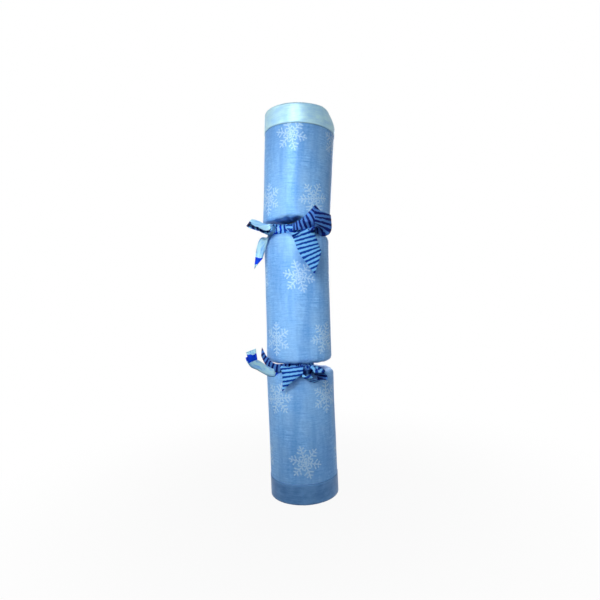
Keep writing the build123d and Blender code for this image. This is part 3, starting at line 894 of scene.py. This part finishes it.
UPPER_LEFT_LOOP = [
    (KNOT_TURN, 17.0, 0.0, 0, 0, -1, 0.36), (-30, 17.6, -0.2, 0, 0, -1, 0.38),
    (-42, 19.5, -0.2, -0.1, -0.05, -1, 0.4), (-51, 23.0, 0.2, -0.5, -0.3, -0.8, 0.5),
    (-55.5, 26.5, 1.2, -0.84, -0.54, -0.2, 0.75), (-56.5, 31.5, 2.6, -0.76, -0.49, 0.43, 0.95),
    (-58.5, 36.0, 3.7, -0.76, -0.49, 0.43, 1.0), (-60, 39.6, 4.3, -0.76, -0.49, 0.43, 1.0),
    (-61, 41.2, 3.4, -0.76, -0.49, 0.43, 1.0), (-60, 39.8, 2.3, -0.76, -0.49, 0.43, 1.0),
    (-57.7, 35.5, 0.6, -0.76, -0.49, 0.43, 1.0), (-55.6, 31.0, -1.6, -0.76, -0.49, 0.43, 0.95),
    (-54.4, 26.0, -2.1, -0.84, -0.54, -0.2, 0.75), (-45, 20.0, -1.6, -0.3, -0.2, -0.9, 0.45),
    (KNOT_TURN, 14.5, -0.8, 0, 0, -1, 0.3)]
UPPER_RIGHT_LOOP = [
    (KNOT_TURN, 15.5, 0.6, 0, 0, -1, 0.3), (-2, 21.0, 0.4, 0.1, 0, -1, 0.34),
    (12, 26.8, 1.6, 0.4, 0, -0.9, 0.5), (26, 28.9, 4.4, 0.75, 0, -0.65, 0.72),
    (36, 29.6, 7.0, 0.95, 0, -0.3, 0.92), (40.5, 30.2, 9.6, 1, 0, -0.12, 1.0),
    (41.5, 31.2, 10.4, 1, 0, -0.1, 1.0), (41.5, 32.0, 9.2, 1, 0, -0.12, 1.0),
    (41.5, 32.2, 4.0, 1, 0, -0.2, 1.0), (40, 31.2, -2.0, 1, 0, -0.2, 0.95),
    (36, 27.5, -3.4, 1, 0, -0.2, 0.8), (22, 20.0, -1.8, 0.7, 0, -0.6, 0.45),
    (KNOT_TURN, 14.0, -0.6, 0, 0, -1, 0.3)]
# Upper bow: the right loop is darkened as painted shade, and the left tail shows the pale face that is
# painted highlight
UPPER_BOW = [
    rope(), knot(3.2, -0.6), (UPPER_FRONT_TAIL, -0.75, ONE_SIDE), (UPPER_LEFT_TAIL, 1.5, HIGHLIT_FACE),
    (UPPER_LEFT_LOOP, 0.0, ONE_SIDE), (UPPER_RIGHT_LOOP, 0.0, SHADED_PRINT)]

LOWER_FRONT_TAIL = [
    (KNOT_TURN, 14.2, 0.0, 1, 0, 0, 0.3), (-13, 21.0, 1.0, 1, 0, 0, 0.85),
    (-12.8, 26.2, 1.9, 1, 0, 0, 1.0), (-12.2, 28.6, 0.6, 1, 0.1, 0.05, 1.0),
    (-12, 31.2, -3.8, 1, 0.3, 0.15, 1.0), (-12.2, 34.2, -8.8, 1, 0.45, 0.22, 1.0),
    (-12.5, 36.8, -14.2, 1, 0.45, 0.22, 1.0)]
LOWER_RIGHT_LOOP = [
    (KNOT_TURN, 14.5, 0.6, 0, 0, 1, 0.3), (0, 20.0, 0.6, 0.1, 0.3, 0.95, 0.3),
    (8, 25.5, 0.6, 0.1, 0.5, 0.85, 0.3), (10, 30.5, 0.5, 0, 0.7, 0.7, 0.32)]
LOWER_RIGHT_LOOP += open_loop(16, 35.5, -3.8, 7.2, 3.3, radians(27), (-0.12, 0.95, 0.28))
LOWER_RIGHT_LOOP += [
    (7.5, 30.0, -1.2, 0, 0.7, 0.7, 0.32), (6, 25.0, -0.8, 0.1, 0.5, 0.85, 0.3),
    (0, 20.0, -0.6, 0.1, 0.3, 0.95, 0.3), (KNOT_TURN, 14.0, -0.4, 0, 0, 1, 0.3)]
LOWER_RIGHT_TAIL = [
    (KNOT_TURN, 14.5, 0.0, 0, 0, 1, 0.3), (16, 20.0, -0.6, 0.3, 0, 0.95, 0.3),
    (29, 25.5, -1.6, 0.87, 0, 0.5, 0.4), (33, 28.2, -3.2, 0.87, 0, 0.5, 0.46),
    (35, 29.0, -5.2, 0.87, 0, 0.5, 0.46), (37, 29.2, -8.4, 0.87, 0, 0.5, 0.46)]
LOWER_LEFT_TAIL = [
    (KNOT_TURN, 14.0, -0.4, 0, 0, 1, 0.3), (-38, 21.0, -2.4, 0.2, 0, 1, 0.34),
    (-48, 28.5, -2.6, 0.3, -0.3, 0.9, 0.36), (-54, 33.0, 0.0, 0.35, -0.5, 0.8, 0.36),
    (-55.5, 37.5, 3.2, 0.4, -0.65, 0.6, 0.38), (-56.6, 41.5, 5.7, 0.5, -0.8, 0.3, 0.44),
    (-55.8, 43.4, 9.4, 0.55, -0.84, 0, 0.5), (-56.4, 43.6, 16.4, 0.55, -0.84, 0, 0.46)]
LOWER_SIDE_TAIL = [
    (KNOT_TURN, 14.0, 0.6, 0, 0, 1, 0.3), (-30, 21.0, 0.4, 0.1, 0, 1, 0.36),
    (-41, 26.5, 0.6, 0.3, 0, 0.95, 0.36), (-49, 28.8, 2.6, 0.8, 0, 0.6, 0.36),
    (-57, 29.8, 5.9, 0.9, -0.2, 0.2, 0.36), (-62, 30.8, 9.6, 0.9, -0.2, 0.2, 0.36),
    (-66.5, 32.2, 15.0, 0.9, -0.2, 0.2, 0.36)]
# Lower bow: the right loop has painted shade inside, the side tail is darkened as painted shade, and the left
# tail shows the pale face that is painted highlight
LOWER_BOW = [
    rope(), knot(2.2, -0.4), (LOWER_FRONT_TAIL, -0.66, ONE_SIDE), (LOWER_RIGHT_LOOP, 0.0, SHADED_INSIDE),
    (LOWER_RIGHT_TAIL, 0.3, STRIPED), (LOWER_LEFT_TAIL, 0.35, HIGHLIT_FACE), (LOWER_SIDE_TAIL, 0.8, SHADED_PRINT)]


PAPER_LOOK = paper_look()
RIBBON_LOOK = ribbon_look("striped_ribbon", colour(124, 200, 255), colour(8, 62, 176))
# A darker copy of the striped ribbon: painted shade for the runs that lie in shade
SHADED_RIBBON_LOOK = ribbon_look("shaded_ribbon", colour(84, 140, 222), colour(8, 28, 110))
# The pale face: painted highlight that stands for the striped ribbon washed out by strong light
HIGHLIT_RIBBON_LOOK = highlit_ribbon_look()
# One foil in two copies: the upper one painted lighter as painted highlight, the lower one painted darker as
# painted shade
LIT_UPPER_FOIL_LOOK = foil_look("upper_foil", colour(196, 238, 250), colour(160, 212, 246))
SHADED_LOWER_FOIL_LOOK = foil_look("lower_foil", colour(98, 148, 202), colour(68, 118, 174))
CARD_LOOK = grained_look(
    "grey_card", colour(176, 168, 152), colour(214, 208, 196), 0.9, (1, 1, 1), 0.75, 0.05)

end_paper("upper_end_paper", "upper_end", UPPER_PLACE, UPPER_LENGTH, UPPER_RADIUS, UPPER_RIM_RADIUS,
          UPPER_HALF_GAP, UPPER_END_ROUNDING, necked=False, press=upper_press)
end_paper("lower_end_paper", "lower_end", LOWER_PLACE, LOWER_LENGTH, LOWER_RADIUS, LOWER_RADIUS,
          LOWER_HALF_GAP, SHOULDER_ROUNDING, necked=True, press=no_press)
barrel_paper()
UPPER_SLOPE = UPPER_FLARE / (UPPER_LENGTH - UPPER_HALF_GAP - UPPER_END_ROUNDING)
foil_band("upper_foil", "upper_end", UPPER_PLACE, UPPER_LENGTH, UPPER_RIM_RADIUS - UPPER_SLOPE * BAND_WIDTH,
          UPPER_RIM_RADIUS, UPPER_LAP_TURN, True, LIT_UPPER_FOIL_LOOK)
foil_band("lower_foil", "lower_end", LOWER_PLACE, LOWER_LENGTH, LOWER_RADIUS, LOWER_RADIUS, LOWER_LAP_TURN,
          False, SHADED_LOWER_FOIL_LOOK)
pressed_tube()
ribbon_piece("upper_bow", "barrel", UPPER_BOW_PLACE, UPPER_BOW)
ribbon_piece("lower_bow", "lower_end", LOWER_BOW_PLACE, LOWER_BOW)

for node in ("barrel_tube", "lower_end_tube"):
    dress(node, CARD_LOOK)

# Things inside: their nodes, then the name, dark and light colour, grain, its stretch, roughness and relief
INNER_LOOKS = [
    (("snap_upper_strip", "snap_lower_strip"),
     "snap_card", (170, 156, 128), (208, 196, 168), 1.2, (1, 1, 0.3), 0.8, 0.05),
    (("snap_upper_patch", "snap_lower_patch"),
     "friction_patch", (46, 40, 40), (92, 84, 82), 4.0, (1, 1, 1), 0.9, 0.08),
    (("snap_sleeve", "crown_band", "motto_slip"),
     "plain_paper", (212, 206, 190), (236, 232, 220), 1.4, (1, 1, 0.5), 0.8, 0.03),
    (("paper_crown",), "red_tissue", (170, 16, 26), (220, 48, 52), 0.6, (1, 1, 0.4), 0.7, 0.2),
    (("top_body",), "painted_wood", (140, 30, 24), (188, 52, 40), 0.5, (1, 1, 0.15), 0.4, 0.05),
    (("top_stem",), "plain_wood", (176, 132, 84), (222, 184, 134), 1.1, (1, 1, 0.12), 0.55, 0.05)]
for nodes, look_name, dark, light, *grain in INNER_LOOKS:
    inner_look = grained_look(look_name, colour(*dark), colour(*light), *grain)
    for node in nodes:
        dress(node, inner_look)


# Stage


def stage_look():
    """White to the eye, with a part of it lit near the object, so that its shadow stays."""
    look = Look("white_stage")
    look.set(Base_Color=(0.3, 0.3, 0.3, 1.0), Roughness=0.9)
    rays = look.node("LightPath", {}).outputs
    seen = look.math("MAXIMUM", rays["Is Camera Ray"], rays["Is Glossy Ray"])
    seen = look.math("MAXIMUM", seen, rays["Is Transmission Ray"])
    glow = look.node("Emission", {"Color": (1, 1, 1, 1), "Strength": 1.0}).outputs[0]
    place = look.node("TexCoord", {}).outputs["Object"]
    away = look.node("VectorMath", {0: place}, operation="LENGTH").outputs["Value"]
    share = look.math("MULTIPLY", seen, look.rise(away, SHADOW_START, SHADOW_END, SHADOW_SHARE, 1.0))
    mixed = look.node("MixShader", {0: share, 1: look.shader.outputs[0], 2: glow}).outputs[0]
    look.feed(look.tree.nodes["Material Output"].inputs["Surface"], mixed)
    return look.material


def floor():
    """A wide pale floor under the lower rim."""
    corners = [(FLOOR_HALF * x, FLOOR_HALF * y, 0) for x, y in ((-1, -1), (1, -1), (1, 1), (-1, 1))]
    mesh = bpy.data.meshes.new("floor")
    mesh.from_pydata(corners, [], [(0, 1, 2, 3)])
    piece = bpy.data.objects.new("floor", mesh)
    bpy.context.scene.collection.objects.link(piece)
    piece.data.materials.append(stage_look())


def world():
    """Even pale surroundings: white to the eye, soft as light."""
    sky = bpy.data.worlds.new("studio")
    bpy.context.scene.world = sky
    sky.use_nodes = True
    tree = sky.node_tree
    back = tree.nodes["Background"]
    back.inputs["Color"].default_value = (1, 1, 1, 1)
    rays = tree.nodes.new("ShaderNodeLightPath").outputs
    seen = rays["Is Camera Ray"]
    for name in ("Is Glossy Ray", "Is Transmission Ray"):
        more = tree.nodes.new("ShaderNodeMath")
        more.operation = "MAXIMUM"
        tree.links.new(seen, more.inputs[0])
        tree.links.new(rays[name], more.inputs[1])
        seen = more.outputs[0]
    level = tree.nodes.new("ShaderNodeMapRange")
    level.inputs["To Min"].default_value = AMBIENT
    level.inputs["To Max"].default_value = 1.0
    tree.links.new(seen, level.inputs["Value"])
    tree.links.new(level.outputs[0], back.inputs["Strength"])


def lamp(name, place, aim, size, power, spread):
    """A soft square lamp."""
    light = bpy.data.lights.new(name, "AREA")
    light.size = size
    light.energy = power
    light.spread = spread
    holder = bpy.data.objects.new(name, light)
    bpy.context.scene.collection.objects.link(holder)
    holder.location = place
    holder.rotation_euler = (Vector(aim) - Vector(place)).to_track_quat("-Z", "Y").to_euler()


def camera():
    """The photograph's view."""
    yaw, pitch, roll = radians(CAMERA_YAW), radians(CAMERA_PITCH), radians(CAMERA_ROLL)
    ahead = Vector((sin(yaw) * cos(pitch), cos(yaw) * cos(pitch), sin(pitch)))
    right = Vector((cos(yaw), -sin(yaw), 0))
    up = right.cross(ahead)
    right, up = right * cos(roll) + up * sin(roll), up * cos(roll) - right * sin(roll)
    lens = bpy.data.cameras.new("camera")
    lens.sensor_width = SENSOR
    lens.lens = SENSOR * FOCAL_PIXELS / FRAME_PIXELS
    lens.clip_start = CLIP_START
    holder = bpy.data.objects.new("camera", lens)
    bpy.context.scene.collection.objects.link(holder)
    turn = Matrix((right, up, -ahead)).transposed().to_4x4()
    holder.matrix_world = Matrix.Translation(Vector(CAMERA_PLACE) * MM) @ turn
    bpy.context.scene.camera = holder


floor()
world()
for lamp_name, settings in LAMPS.items():
    lamp(lamp_name, *settings)
camera()
bpy.context.scene.view_settings.view_transform = "Standard"
